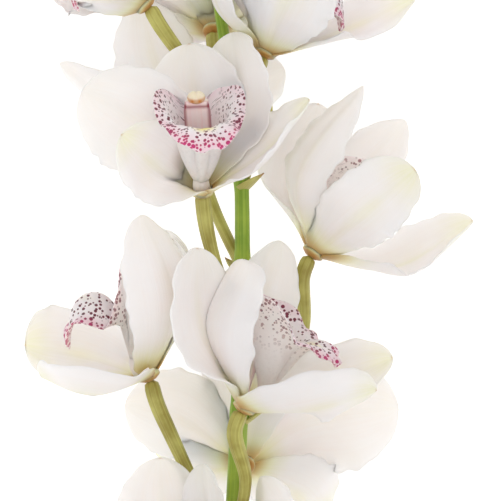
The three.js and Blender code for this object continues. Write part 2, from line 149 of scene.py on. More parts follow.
def thicken(piece, thickness, edge, fullness, inside=0):
    group = piece.vertex_groups.new(name="body")
    for k in range(len(piece.data.vertices)):
        group.add([k], fullness(k), "REPLACE")
    wall = piece.modifiers.new("wall", "SOLIDIFY")
    wall.thickness = thickness * 0.001
    wall.offset = 0
    wall.vertex_group = "body"
    wall.thickness_vertex_group = edge
    wall.material_offset = inside
    bpy.ops.object.modifier_apply(modifier="wall")
    piece.vertex_groups.clear()


def joinAs(name, pieces, node):
    bpy.ops.object.select_all(action="DESELECT")
    for piece in pieces:
        piece.select_set(True)
    bpy.context.view_layer.objects.active = pieces[0]
    if len(pieces) > 1:
        bpy.ops.object.join()
    bpy.ops.object.shade_smooth()
    piece = bpy.context.object
    piece.name = name
    piece.data.name = name
    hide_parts(node)
    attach(piece, "root")
    return piece


def dress(piece, *materials):
    piece.data.materials.clear()
    for material in materials:
        piece.data.materials.append(material)
    return piece


class Finish:
    # a material and a short way to add and join its nodes
    def __init__(self, name, surface):
        self.material = bpy.data.materials.new(name)
        self.material.use_nodes = True
        self.tree = self.material.node_tree
        self.shader = self.tree.nodes["Principled BSDF"]
        for key, value in surface.items():
            self.shader.inputs[key].default_value = value

    def add(self, kind, values=None, **settings):
        node = self.tree.nodes.new("ShaderNode" + kind)
        for key, value in settings.items():
            setattr(node, key, value)
        for key, value in (values or {}).items():
            if isinstance(value, bpy.types.NodeSocket):
                self.tree.links.new(value, node.inputs[key])
            else:
                node.inputs[key].default_value = value
        return node

    def reckon(self, how, a, b=0):
        return self.add("Math", {0: a, 1: b}, operation=how).outputs[0]

    def plus(self, a, b):
        return self.reckon("ADD", a, b)

    def times(self, a, b):
        return self.reckon("MULTIPLY", a, b)

    def blend(self, amount, a, b):
        return self.add("Mix", {0: amount, 6: a, 7: b}, data_type="RGBA").outputs[2]

    def ramp(self, value, low, high, floor=0.0, top=1.0):
        values = {"Value": value, "From Min": low, "From Max": high, "To Min": floor, "To Max": top}
        return self.add("MapRange", values).outputs[0]

    def noise(self, place, scale, detail=2.0, roughness=0.5):
        values = {"Vector": place, "Scale": scale, "Detail": detail, "Roughness": roughness}
        return self.add("TexNoise", values).outputs[0]

    def stretched(self, place, x, y, z=1.0):
        return self.add("Mapping", {"Vector": place, "Scale": (x, y, z)}).outputs[0]

    def uvMap(self, name):
        return self.add("UVMap", uv_map=name).outputs[0]

    def solid(self):
        return self.add("TexCoord").outputs["Object"]

    def amounts(self):
        attribute = self.add("Attribute", attribute_name="tint").outputs[0]
        return self.add("SeparateColor", {0: attribute}).outputs

    def end(self, colour, height=None, depth=0.0002):
        self.tree.links.new(colour, self.shader.inputs["Base Color"])
        if height is not None:
            values = {"Height": height, "Distance": depth, "Strength": 1.0}
            relief = self.add("Bump", values).outputs[0]
            self.tree.links.new(relief, self.shader.inputs["Normal"])
        return self.material


petalLook = {
    "ivory": (0.955, 0.928, 0.918, 1),
    # the pink flush, also used as painted warm shade towards the blades' feet and midribs
    "blush": (0.92, 0.79, 0.75, 1),
    "green": (0.78, 0.8, 0.38, 1),
    "brown": (0.47, 0.21, 0.035, 1),
    "veins": 34,  # across a blade
    "veinDepth": 0.00012,
    "surface": {
        "Roughness": 0.42,
        "Subsurface Weight": 0.75,
        "Subsurface Radius": (1.0, 0.88, 0.8),
        "Subsurface Scale": 0.005,
        "Specular IOR Level": 0.35,
        "Sheen Weight": 0.12,
    },
}


def petalFinish():
    # the tint's red, green and blue are the amounts of blush, green and brown; the blush is the petals' pink
    # flush, with painted warm shade added towards each blade's foot and midrib
    look = petalLook
    f = Finish("petalWax", look["surface"])
    blush, green, brown = f.amounts()
    solid = f.solid()
    veins = f.noise(f.stretched(f.uvMap("UVMap"), look["veins"], 1.6), 1.0, 3.0, 0.6)
    cloud = f.noise(solid, 55.0, 2.0)
    grain = f.noise(solid, 1400.0, 1.0)
    pink = f.times(blush, f.ramp(cloud, 0.3, 0.7, 0.55, 1.3))
    pink = f.plus(pink, f.times(f.ramp(veins, 0.45, 0.75, -0.08, 0.35), blush))
    colour = f.blend(f.ramp(pink, 0.0, 1.0), look["ivory"], look["blush"])
    colour = f.blend(f.times(green, f.ramp(veins, 0.3, 0.7, 0.8, 1.1)), colour, look["green"])
    colour = f.blend(brown, colour, look["brown"])
    return f.end(colour, f.plus(veins, f.times(grain, 0.18)), look["veinDepth"])


lipLook = {
    "ground": (0.98, 0.87, 0.9, 1),
    "blush": (0.88, 0.5, 0.6, 1),
    "dots": (0.11, 0.008, 0.025, 1),
    "crimson": (0.42, 0.01, 0.1, 1),
    "callus": (0.92, 0.76, 0.22, 1),
    "outside": (0.98, 0.88, 0.84, 1),
    # a pinkish-tan flush with painted shade, on the outside at the foot and under the middle line
    "foot": (0.97, 0.81, 0.74, 1),
    "spotSpacing": 0.0018,  # of the round spots, in metres
    "spotSizes": (0.22, 0.44),  # least and most, as a share of the spacing
    "streakSpacing": 1.9,  # of the short streaks beside the slit, in millimetres
    "streakSizes": (0.12, 0.3),
    "surface": {
        "Roughness": 0.5,
        "Subsurface Weight": 0.8,
        "Subsurface Radius": (1.0, 0.8, 0.78),
        "Subsurface Scale": 0.005,
        "Specular IOR Level": 0.35,
        "Sheen Weight": 0.15,
    },
}


def lipFinish(name, inner):
    # the tint's red, green and blue are the amounts of rim, callus and foot; the foot colour is a pinkish-tan
    # flush with painted shade, at the lip's foot and under its middle line
    look = lipLook
    f = Finish(name, look["surface"])
    rim, callus, foot = f.amounts()
    size, solid = f.uvMap("size"), f.solid()
    along = f.add("SeparateXYZ", {0: f.uvMap("UVMap")}).outputs

    def spotsOf(place, spacing, least, most):
        cells = f.add("TexVoronoi", {"Vector": place, "Scale": 1 / spacing, "Randomness": 0.9})
        draws = f.add("SeparateColor", {0: cells.outputs["Color"]}).outputs
        reach = f.plus(f.ramp(draws[0], 0.0, 1.0, least, most), f.times(rim, 0.14))
        return f.ramp(f.reckon("SUBTRACT", cells.outputs["Distance"], reach), 0.05, -0.05)

    aside = f.reckon("ABSOLUTE", f.reckon("SUBTRACT", along[0], 0.5))
    beside = f.ramp(aside, 0.4, 0.46)  # the slit, where spots give way to streaks
    spots = spotsOf(solid, look["spotSpacing"], *look["spotSizes"])
    streaks = spotsOf(f.stretched(size, 1.0, 0.7), look["streakSpacing"], *look["streakSizes"])
    dots = f.plus(f.times(spots, f.ramp(beside, 0, 1, 1, 0)), f.times(streaks, beside))
    middle = f.ramp(aside, 0.12, 0.22, 1, 0)
    dotColour = f.blend(f.times(f.ramp(rim, 0.3, 0.9), middle), look["dots"], look["crimson"])
    soft = f.noise(solid, 250.0, 3.0)
    if inner:
        pink = f.ramp(f.plus(rim, f.times(soft, 0.5)), 0.2, 1.2, 0.0, 0.85)
        colour = f.blend(pink, look["ground"], look["blush"])
        colour = f.blend(callus, colour, look["callus"])
        shown = f.ramp(callus, 0.3, 0.9, 1.0, 0.15)
    else:
        # painted shade with a pinkish-tan flush: the foot colour darkens the outside at its foot and under
        # the middle line
        shade = f.ramp(f.plus(foot, f.times(soft, 0.3)), 0.3, 1.3)
        colour = f.blend(shade, look["outside"], look["foot"])
        colour = f.blend(f.ramp(rim, 0.1, 0.9, 0.0, 0.4), colour, look["blush"])
        shown = f.ramp(along[1], 0.5, 0.78, 0.04, 0.85)
    colour = f.blend(f.times(dots, shown), colour, dotColour)
    height = f.plus(f.noise(f.stretched(size, 2.2, 0.25), 1.0, 3.0), f.noise(size, 3.0, 2.0))
    return f.end(colour, height)


plainSurface = {
    "Roughness": 0.45,
    "Subsurface Weight": 0.12,
    "Subsurface Radius": (0.6, 0.8, 0.3),
    "Subsurface Scale": 0.002,
    "Specular IOR Level": 0.4,
}

skins = {
    "columnWax": {
        "deep": (0.95, 0.72, 0.71, 1),
        "pale": (0.96, 0.84, 0.83, 1),
        "marks": (0.3, 0.03, 0.06, 1),
        "back": (0.92, 0.86, 0.8, 1),
    },
    "capWax": {"deep": (0.88, 0.78, 0.56, 1), "pale": (0.91, 0.84, 0.68, 1), "marks": (0.7, 0.25, 0.04, 1)},
    "pedicelSkin": {"deep": (0.33, 0.28, 0.055, 1), "pale": (0.55, 0.53, 0.15, 1)},
    "stalkSkin": {
        "deep": (0.2, 0.34, 0.025, 1),
        "pale": (0.36, 0.5, 0.055, 1),
        "marks": (0.55, 0.58, 0.3, 1),
        "lines": (40, 9),
    },
    "bractSkin": {"deep": (0.46, 0.43, 0.12, 1), "pale": (0.62, 0.58, 0.22, 1), "marks": (0.4, 0.2, 0.08, 1)},
    "budWax": {"deep": (0.62, 0.62, 0.3, 1), "pale": (0.8, 0.76, 0.52, 1), "marks": (0.74, 0.42, 0.38, 1)},
}


def plainFinish(name, deep, pale, marks=None, back=None, lines=(26, 1.2)):
    # lines run along the piece; the tint's red brings in the marks and its green the back
    f = Finish(name, plainSurface)
    solid = f.solid()
    fibres = f.noise(f.stretched(f.uvMap("UVMap"), *lines), 1.0, 3.0, 0.6)
    cloud = f.noise(solid, 90.0, 3.0)
    colour = f.blend(f.ramp(f.plus(fibres, cloud), 0.8, 1.2), deep, pale)
    if back:
        colour = f.blend(f.amounts()[1], colour, back)
    if marks:
        colour = f.blend(f.amounts()[0], colour, marks)
    return f.end(colour, f.plus(fibres, f.times(f.noise(solid, 1600.0, 1.0), 0.25)))


petalWax = petalFinish()
lipInner = lipFinish("lipInner", True)
lipOuter = lipFinish("lipOuter", False)
skin = {name: plainFinish(name, **look) for name, look in skins.items()}
print("finishes made")


# a plain blade's places lie along its bloom's facing, up and right; a bloom's own lie along the frame's axes
plainWhorl = {
    "dorsal": {"via": [20, 29, 0], "tip": [46, 46, 0]},
    "petalRight": {"via": [24, 18, 25], "tip": [54, 24, 38], "width": 46},
    "petalLeft": {"via": [24, 18, -25], "tip": [54, 24, -38], "width": 46},
    "sepalRight": {"via": [18, -17, 25], "tip": [42, -26, 44]},
    "sepalLeft": {"via": [18, -17, -25], "tip": [42, -26, -44]},
}

# these two stand in for lipForm's own values, further down
shortLip = {
    "callus": [0.35, 0.5, 0.7, 0.8],
    "length": 49,
    "breadth": 0.62,
    "wrap": [92, 135],
    "wrapEnd": 0.8,
    "reach": 0,
    "edge": 0.14,
}
hangingLip = {
    "callus": [0.6, 0.7, 0.6, 0.7],  # a faint band only
    "dip": -14,
    "length": 44,
    "breadth": 0.66,
    "widening": [6, 36],
    "bend": [0.32, 0.85],
    "flare": 84,
    "recurve": 166,
    "wrapEnd": 0.9,
    "reach": 0.58,
    "ears": 0.16,
}

blooms = [
    {
        "name": "bloom_01",
        "node": -212,
        "at": [-30, -159, 14],
        "facing": [-0.15, 0.82, 0.55],
        "up": [0, 0.55, -0.8],
        "dorsal": {"via": [-3, 34, -12], "tip": [-5, 68, -10]},
        "petalRight": {"via": [14, 34, 0], "tip": [14, 66, 0], "width": 24, "roll": 20},
        "petalLeft": {"via": [-28, 26, 6], "tip": [-50, 44, 6], "width": 48},
    },
    {
        "name": "bloom_02",
        "node": -196,
        "at": [23, -166, 4],
        "facing": [0.5, 0.85, 0.2],
        "up": [-0.85, 0.5, 0],
        "dorsal": {"via": [-14, 30, -8], "tip": [-8, 60, -6]},
        "petalLeft": {"via": [-8, 36, 14], "tip": [-14, 67, 6]},
        "petalRight": {"via": [14, 28, -22], "tip": [24, 46, -30]},
    },
    {
        "name": "bloom_03",
        "node": -126,
        "bend": [2.4, -100, 13],
        "at": [0.6, -70, 22],
        "facing": [0.52, 0.85, 0.1],
        "up": [-0.85, 0.52, 0],
        "dorsal": {"via": [-18, 40, 14], "tip": [-19, 71, 12], "roll": -60, "width": 46},
        "petalLeft": {"via": [-11, 36, 20], "tip": [1, 66, 16], "bluntness": 3.2, "width": 46},
        "petalRight": {"via": [5, 33, -18], "tip": [17, 74, -17], "width": 34, "cup": [18, 15]},
        "sepalLeft": {"via": [30, 3, 20], "tip": [58, 10, 12], "width": 42, "claw": 0.62},
        "sepalRight": {"via": [37, 11, -16], "tip": [66, 23, -10], "width": 40},
        "lip": {
            **shortLip,
            "dip": -3,
            "yaw": -7,
            "roll": -10,
            "flare": 82,
            "wrap": [92, 155],
            "edge": 0.02,
            "lean": [0.16, 0],
        },
    },
    {
        "name": "bloom_04",
        "node": -135,
        "bend": [-30, -82, 2],
        "at": [-39, -57, 8],
        "facing": [-0.4, 0.9, 0.1],
        "up": [0.9, 0.4, 0],
        "dorsal": {"via": [9, 28, -19], "tip": [9, 62, -18]},
        "petalRight": {"via": [9, 35, 27], "tip": [-3, 72, 22], "width": 41, "claw": 0.48},
        "petalLeft": {"via": [6, 35, -24], "tip": [4, 66, -26]},
        "sepalRight": {"via": [-25, -4, 24], "tip": [-47, 2, 12], "roll": -14, "claw": 0.45, "width": 47},
        "sepalLeft": {"via": [-29, 10, -22], "tip": [-56, 15, -12], "bluntness": 2.6},
        "lip": {
            **hangingLip,
            "yaw": 3,
            "edge": 0.08,
            "ears": 0.06,
            "widening": [6, 10],
            "wrap": [92, 142],
            "earFlare": 10,
            "earsFrom": [0.38, 0.58],
            "midlobe": 0.26,
            "notch": 0.3,
        },
    },
    {
        "name": "bloom_05",
        "node": -142,
        "at": [1.3, -97, -16],
        "facing": [0.1, 0.55, -0.83],
        "up": [0, 0.83, 0.55],
        "petalLeft": {"via": [27, 20, -14], "tip": [70, 26, -16], "width": 58},
        "petalRight": {"via": [-28, 20, -8], "tip": [-53, 28, -14]},
        "sepalLeft": {"via": [22, -12, -20], "tip": [36, -26, -40]},
        "sepalRight": {"via": [-23, -3, -20], "tip": [-40, 3, -44]},
    },
    {
        "name": "bloom_06",
        "node": -72,
        "bend": [27, -38, -12],
        "at": [31, -3, -8],
        "facing": [0.58, 0.81, -0.1],
        "up": [-0.81, 0.58, 0],
        "dorsal": {"via": [-8, 28, -23], "tip": [4, 69, -21], "roll": -25, "width": 42},
        "petalLeft": {
            "via": [-5, 34, 17],
            "tip": [23, 75, 12],
            "width": 29,
            "roll": 15,
            "bluntness": 1.25,
            "nick": 0.035,
        },
        "petalRight": {
            "via": [16, 29, -32],
            "tip": [44, 62, -36],
            "width": 38,
            "bluntness": 1.5,
            "nick": 0.035,
        },
        "sepalLeft": {"via": [22, 19, 29], "tip": [45, 38, 25], "claw": 0.4, "width": 37, "bluntness": 2.3},
        "sepalRight": {"via": [39, -5, -20], "tip": [73, 16, -12], "claw": 0.5},
        "lip": {**shortLip, "dip": -6},
    },
    {
        "name": "bloom_07",
        "node": -28,
        "at": [-16.2, 24, 18],
        "facing": [-0.06, 0.8, 0.6],
        "up": [0.02, 0.6, -0.8],
        "dorsal": {"via": [-2, 32, -9], "tip": [-6, 66, -5], "width": 46},
        "petalLeft": {"via": [-28, 31, 4], "tip": [-52, 45, 4], "width": 48, "roll": -36, "cup": [20, 20]},
        "petalRight": {"via": [15, 42, -4], "tip": [13, 71, -8]},
        "sepalLeft": {
            "via": [-18, 11, 14],
            "tip": [-34, 25, 28],
            "roll": -60,
            "claw": 0.6,
            "width": 38,
            "cup": [60, 18],
        },
        "sepalRight": {"via": [29, 20, 14], "tip": [46, 40, 22], "claw": 0.5, "width": 39, "cup": [56, 22]},
        "lip": {"yaw": 4, "roll": 8, "wrap": [92, 166]},
    },
    {
        "name": "bloom_08",
        "node": -6,
        "at": [-22, 52, -31],
        "facing": [-0.2, 0.42, -0.88],
        "up": [0, 0.9, 0.43],
        "dorsal": {"via": [-16, 31, -1], "tip": [-23, 59, 1], "width": 40},
        "petalRight": {"via": [-33, 11, -14], "tip": [-60, 33, -12], "width": 40, "bluntness": 1.4},
        "petalLeft": {"via": [23, 20, -16], "tip": [42, 31, -20], "width": 38},
        "sepalRight": {"via": [-20, -6, -25], "tip": [-33, -2, -47]},
        "sepalLeft": {"via": [15, -2, -27], "tip": [26, 6, -52]},
        "lip": {"breadth": 0.68, "wrap": [92, 150]},
    },
    {
        "name": "bloom_09",
        "node": 31,
        "bend": [11.5, 60, 3],
        "at": [9.7, 84.5, 6],
        "facing": [0.45, 0.88, -0.1],
        "up": [-0.88, 0.45, 0],
        "dorsal": {"via": [-20, 25, 4], "tip": [-9, 68, 4], "cup": [22, 18]},
        "petalLeft": {"via": [-8, 33, 20], "tip": [6, 72, 14], "width": 38, "roll": 10},
        "petalRight": {"via": [11, 32, -32], "tip": [29, 64, -34]},
        "sepalLeft": {"via": [9, 21, 28], "tip": [23, 47, 28], "claw": 0.4},
        "sepalRight": {"via": [36, 12, -18], "tip": [68, 27, -10], "width": 42, "claw": 0.5},
        "lip": {**hangingLip, "yaw": -4, "length": 42},
    },
    {
        "name": "bloom_10",
        "node": 54,
        "bend": [-20, 78, -8],
        "at": [-39.6, 106.5, 2],
        "facing": [-0.75, 0.64, 0.1],
        "up": [0.64, 0.75, 0],
        "dorsal": {"via": [3, 29, -8], "tip": [-5, 63, -4]},
        "petalRight": {"via": [-4, 33, 28], "tip": [-22, 69, 25], "width": 38},
        "petalLeft": {"via": [-4, 34, -24], "tip": [-13, 65, -24]},
        "sepalRight": {"via": [-24, 3, 24], "tip": [-46, 5, 12], "roll": -28, "claw": 0.4},
        "sepalLeft": {"via": [-28, 14, -22], "tip": [-52, 22, -12]},
        "lip": {**hangingLip, "reach": 0.22},
    },
    {
        "name": "bloom_11",
        "node": 70,
        "at": [-12, 97, -33],
        "facing": [0.05, 0.8, -0.6],
        "up": [0, 0.6, 0.8],
        "dorsal": {"via": [0, 31, 3], "tip": [2, 62, -2], "width": 46},
    },
]

buds = [
    {"name": "bud_01", "node": 118, "at": [8, 172, 4], "facing": [0.25, 0.95, 0.1], "length": 36},
    {"name": "bud_02", "node": 130, "at": [-38, 182, -12], "facing": [-0.3, 0.95, 0.1], "length": 31},
    {"name": "bud_03", "node": 150, "at": [-12, 190, -32], "facing": [0.1, 0.9, -0.4], "length": 27},
]


def frameOf(item):
    facing = Vector(item["facing"]).normalized()
    right = Vector(item["up"]).cross(facing).normalized()
    return {"at": Vector(item["at"]), "facing": facing, "right": right, "up": facing.cross(right)}


def outlineAt(t, blade):
    # half the width at t, as a share of the greatest
    widest, bluntness, claw = blade["widest"], blade["bluntness"], blade["claw"]
    if t < widest:
        foot = 0.66 + 0.34 * smooth(0, 0.07, t)
        return foot * (claw + (1 - claw) * math.sin(math.pi / 2 * t / widest) ** 1.35)
    x = (t - widest) / (1 - widest)
    return max(0.04, (1 - x**bluntness) ** (1 / bluntness))


tepalForm = {
    "width": 44,
    "widest": 0.58,
    "claw": 0.24,  # the width at the foot, as a share
    "bluntness": 1.9,
    "cup": [34, 26],  # half the angle that a blade bends through across, at foot and tip
    "roll": 0,
    "focus": 34,  # the height over the cup that every blade faces
    "sepalFoot": 1.5,  # the heights at which the blades leave the cup
    "petalFoot": 3.5,
    "ruffle": 1.4,  # heights in millimetres, each with its count of waves
    "waves": 1.3,
    "frill": 0.8,
    "frillWaves": [3.7, 9.1],
    "fold": 0.5,
    "foldWaves": 2.3,
    "groove": 0.5,
    "nick": 0.02,  # the nicks' depth, as a share of half the width
    "nickWaves": [5.3, 8.7],
    "thickness": 1.1,
    "thinEdge": 0.42,  # the edge's thickness, as a share
    "rows": 60,
    "columns": 26,
}


def makeTepal(bloomFrame, key, own):
    plain = plainWhorl[key]
    blade = {**tepalForm, **plain, **(own or {})}
    facing, up, right = bloomFrame["facing"], bloomFrame["up"], bloomFrame["right"]
    if own:
        via, tip = Vector(own["via"]), Vector(own["tip"])
    else:
        via, tip = [facing * p[0] + up * p[1] + right * p[2] for p in (plain["via"], plain["tip"])]
    sepal = not key.startswith("petal")
    lateral = sepal and key != "dorsal"
    side = (via - facing * via.dot(facing)).normalized()
    midrib = splinePath([side * 2 + facing * blade["sepalFoot" if sepal else "petalFoot"], via, tip])
    rows, columns = blade["rows"], blade["columns"]
    lines = []
    for i in range(rows + 1):
        t = 1 - (1 - i / rows) ** 1.3
        centre, along = midrib.at(t), midrib.direction(t)
        inward = facing * blade["focus"] - centre
        inward = (inward - along * inward.dot(along)).normalized()
        top = Quaternion(along, blade["roll"] * smooth(0.1, 0.5, t) * degrees) @ inward
        half = blade["width"] / 2 * outlineAt(t, blade)
        arc = max(0.5, blade["cup"][0] + (blade["cup"][1] - blade["cup"][0]) * t) * degrees
        lines.append((t, centre, top, top.cross(along), half, arc))
    turn = draw.uniform(0, 6.28)  # where this blade's waves begin
    (few, many), (long, short) = blade["frillWaves"], blade["nickWaves"]

    def pointAt(i, j):
        t, centre, top, side, half, arc = lines[i]
        u = 2 * j / columns - 1
        share = 2 * half / blade["width"]
        phase = 2 * math.pi * blade["waves"] * t + (2.2 if u > 0 else 0) + blade["width"]
        wave = blade["ruffle"] * share * u * u * math.sin(phase)
        edge = share * abs(u) ** 5
        wave += blade["frill"] * edge * math.sin(2 * math.pi * few * t + turn + 3 * u)
        wave += 0.3 * blade["frill"] * edge * u * u * math.sin(2 * math.pi * many * t + 2 * turn - 2 * u)
        fold = blade["fold"] * share * math.sin(blade["foldWaves"] * math.pi * u + turn)
        wave += fold * smooth(0.1, 0.4, t)
        wave -= blade["groove"] * bump(u * half, 0, 1.5) * smooth(0.02, 0.2, t) * (1 - smooth(0.7, 1, t))
        nicks = math.sin(2 * math.pi * long * t + 3 * turn + u) + math.sin(2 * math.pi * short * t + turn - u)
        reach = half * math.sin(arc * u) / arc * (1 - blade["nick"] * u**6 * nicks)
        return bloomFrame["at"] + centre + side * reach + top * (half * (1 - math.cos(arc * u)) / arc + wave)

    piece = addGrid(rows, columns, pointAt)

    def placeOf(k):
        i, j = divmod(k, columns + 1)
        return lines[i][0], 2 * j / columns - 1

    def amountsAt(k):
        t, u = placeOf(k)
        # the blush is the pink flush, raised towards the foot and the midrib as painted warm shade in the
        # bloom's deep parts
        blush = 0.3 + 0.35 * bump(u, 0, 0.35) * (1 - t) - 0.25 * smooth(0.5, 1, abs(u))
        line = 0.36 * bump(u, 0, 0.14) * smooth(0.1, 0.3, t) * (1 - smooth(0.6, 0.95, t))
        green = line * (0.55 if sepal else 0.25)
        green += (0.75 if lateral else 0.15) * smooth(0.7, 1, t) * (1 - 0.5 * abs(u))
        green += (0.2 if lateral else 0) * bump(t, 0.6, 0.14) * bump(u, 0.1, 0.4)
        green += 0.9 * (1 - smooth(0.04, 0.34, t))
        brown = (0.85 if sepal else 0.5) * (1 - smooth(0.02, 0.17, t))
        if sepal:
            brown += 0.7 * smooth(0.985, 1, t) * bump(u, 0, 0.4)
        return min(1, blush), min(1, green), min(1, brown)

    def fullness(k):
        t, u = placeOf(k)
        return max(0.0, (1 - abs(u) ** 3) * (1 - t**8))

    tint(piece, amountsAt)
    thicken(piece, blade["thickness"], blade["thinEdge"], fullness)
    return dress(piece, petalWax)


cupForm = {
    "radii": [3.8, 5.2, 5.0, 3.4],
    "heights": [0, 1.6, 3.4, 5.5],
    "chin": {"ahead": 7, "below": 3.2, "long": 6.5, "deep": 3, "wide": 3.7},
    "blush": 0.6,
}


def makeCup(bloomFrame):
    # the joined feet of all blades, bulging into a chin on the lip's side
    at, facing, up, right = [bloomFrame[key] for key in ("at", "facing", "up", "right")]
    radii, heights, chin = cupForm["radii"], cupForm["heights"], cupForm["chin"]

    def pointAt(t, angle):
        x = min(2.9999, max(0, (t - 0.08) / 0.84 * 3))
        k = int(x)
        radius = radii[k] + (radii[k + 1] - radii[k]) * smooth(0, 1, x - k)
        height = heights[k] + (heights[k + 1] - heights[k]) * (x - k)
        radius *= math.sin(math.pi * t) ** 0.25
        ring = right * math.cos(angle) + up * math.sin(angle)
        return at + facing * height + ring * radius

    def chinAt(t, angle):
        across = right * chin["wide"] * math.cos(angle) + up * chin["deep"] * math.sin(angle)
        middle = at + facing * chin["ahead"] - up * chin["below"]
        return middle - facing * chin["long"] * math.cos(math.pi * t) + across * math.sin(math.pi * t)

    pieces = [addTube(20, 36, pointAt), addTube(20, 36, chinAt)]
    for piece in pieces:
        shades = []
        for v in piece.data.vertices:
            height = (v.co * 1000 - stemShift - at).dot(facing)
            green, brown = 0.95 * smooth(6.5, 2.5, height), 0.95 * smooth(3.2, 0.8, height)
            shades.append((cupForm["blush"], green, brown))
        tint(piece, shades.__getitem__)
        dress(piece, petalWax)
    return pieces


lipForm = {
    "ahead": 7.6,  # of the bloom's own place, and below it
    "below": 2.5,
    "dip": 0,  # turned about the bloom's place, in degrees
    "yaw": 0,
    "roll": 0,
    "length": 48,
    "breadth": 0.72,
    "widening": [12, 38],  # the wall's slope at the middle line and at the slit
    "bend": [0.52, 1],  # where along the wall it begins to turn out, and where it ends
    "flare": 76,  # how far it turns out beside the middle lobe, at the side lobes and at the middle lobe
    "earFlare": 44,
    "recurve": 122,
    "earsFrom": [0.5, 0.8],  # where the side lobes begin, from the middle line at 0 to the slit at 1
    "midlobe": 0.42,  # how wide the middle lobe is, on the same scale
    "wrap": [92, 160],  # half the angle that the wall goes round, at foot and rim
    "wrapEnd": 0.85,
    "reach": 0.14,  # how much longer the middle lobe and the side lobes are
    "ears": 0,
    "lean": [0, 0],  # the left and the right side lobe alone
    "notch": 0.07,  # what is cut back between the lobes and at the slit
    "edge": 0.22,
    "ruffle": 0.9,
    "frill": 0.6,
    "ridges": [0.9, 2.6, 1.1],  # their height, distance from the middle line and width
    "thickness": 1.0,
    "thinEdge": 0.5,
    "rows": 64,
    "columns": 72,
    "callus": [0.35, 0.5, 0.76, 0.86],  # where its yellow comes in and goes, from foot to rim
}


def turned(a, b, angle):
    # two crossed directions turned in their own plane, a towards b
    c, s = math.cos(angle * degrees), math.sin(angle * degrees)
    return a * c + b * s, b * c - a * s


def makeLip(bloomFrame, own):
    form = {**lipForm, **(own or {})}
    facing, up, right = bloomFrame["facing"], bloomFrame["up"], bloomFrame["right"]
    start = bloomFrame["at"] + facing * form["ahead"] - up * form["below"]
    axis, top = turned(facing, up, -form["dip"])
    axis, side = turned(axis, right, form["yaw"])
    side, top = turned(side, top, form["roll"])
    rows, columns = form["rows"], form["columns"]
    (foot, rim), (high, apart, wide) = form["wrap"], form["ridges"]
    table = [[None] * (columns + 1) for _ in range(rows + 1)]
    for j in range(columns + 1):
        u = 2 * j / columns - 1
        far = abs(u)
        middle = bump(u, 0, form["midlobe"])
        lobes = form["reach"] * middle + form["ears"] * smooth(0.45, 0.65, far)
        lobes += form["lean"][u > 0] * smooth(0.4, 0.7, far)
        cut = form["notch"] * bump(far, 0.45, 0.12) + form["edge"] * smooth(0.72, 1, far)
        length = form["length"] * (1 + lobes - cut)
        slope = form["widening"][0] + (form["widening"][1] - form["widening"][0]) * smooth(0.3, 1, far)
        front = form["flare"] + (form["recurve"] - form["flare"]) * middle
        flare = front + (form["earFlare"] - front) * smooth(*form["earsFrom"], far)
        wave = form["ruffle"] * math.sin(9 * u * math.pi + 0.6)
        frill = form["frill"] * math.sin(31 * u + 1.3 * math.sin(11 * u))
        along, out, t = 0, 2.2, 0
        for i in range(rows + 1):
            part = i / rows - t
            angle = (slope + (flare - slope) * smooth(*form["bend"], t + part / 2)) * degrees
            along += math.cos(angle) * length * part
            out += math.sin(angle) * length * part
            t = i / rows
            around = u * (foot + (rim - foot) * smooth(0, form["wrapEnd"], t)) * degrees
            edge = smooth(0.78, 1, t) * frill
            away = out + wave * t**4 * 0.4 + edge * 0.4
            ridge = high * (bump(u * away, apart, wide) + bump(u * away, -apart, wide))
            away -= ridge * smooth(0.22, 0.4, t) * (1 - smooth(0.62, 0.74, t))
            table[i][j] = (
                start
                + axis * (along + wave * t**4 + edge)
                + side * (form["breadth"] * away * math.sin(around))
                - top * (away * math.cos(around))
            )
    piece = addGrid(rows, columns, lambda i, j: table[i][j])

    # a second map in millimetres, across from the middle line and along from the foot, for the dots
    across = []
    for row in table:
        reach = [0]
        for a, b in zip(row, row[1:]):
            reach.append(reach[-1] + (b - a).length)
        across.append([x - reach[columns // 2] for x in reach])
    size = piece.data.uv_layers.new(name="size")
    for loop in piece.data.loops:
        i, j = divmod(loop.vertex_index, columns + 1)
        size.data[loop.index].uv = (across[i][j], form["length"] * i / rows)

    def placeOf(k):
        i, j = divmod(k, columns + 1)
        return i / rows, 2 * j / columns - 1, across[i][j]

    def amountsAt(k):
        t, u, aside = placeOf(k)
        front = smooth(0.78, 1, t) * (1 - 0.35 * smooth(0.4, 0.6, abs(u)))
        yellow = bump(aside, 0, 5) * smooth(*form["callus"][:2], t) * (1 - smooth(*form["callus"][2:], t))
        # the foot amount: painted shade with a pinkish-tan flush, along the underside's middle line and at
        # the foot
        below = 0.6 * bump(u, 0, 0.3) * (1 - smooth(0.4, 0.7, t))
        return max(front, 0.55 * smooth(0.84, 1, abs(u))), yellow, max(below, 0.8 * (1 - smooth(0.1, 0.4, t)))

    def fullness(k):
        t, u, _ = placeOf(k)
        return (1 - t**6) * (1 - abs(u) ** 6)

    tint(piece, amountsAt)
    dress(piece, lipOuter, lipInner)
    thicken(piece, form["thickness"], form["thinEdge"], fullness, inside=1)
    return piece


columnForm = {
    "start": 7.4,
    "length": 45,
    "halfWidth": 5.8,
    "halfHeight": 4.2,
    "rise": 9,
    "cap": [3.9, 3.1, 2.7],  # half its width, height and depth
    "cleft": 0.7,
}


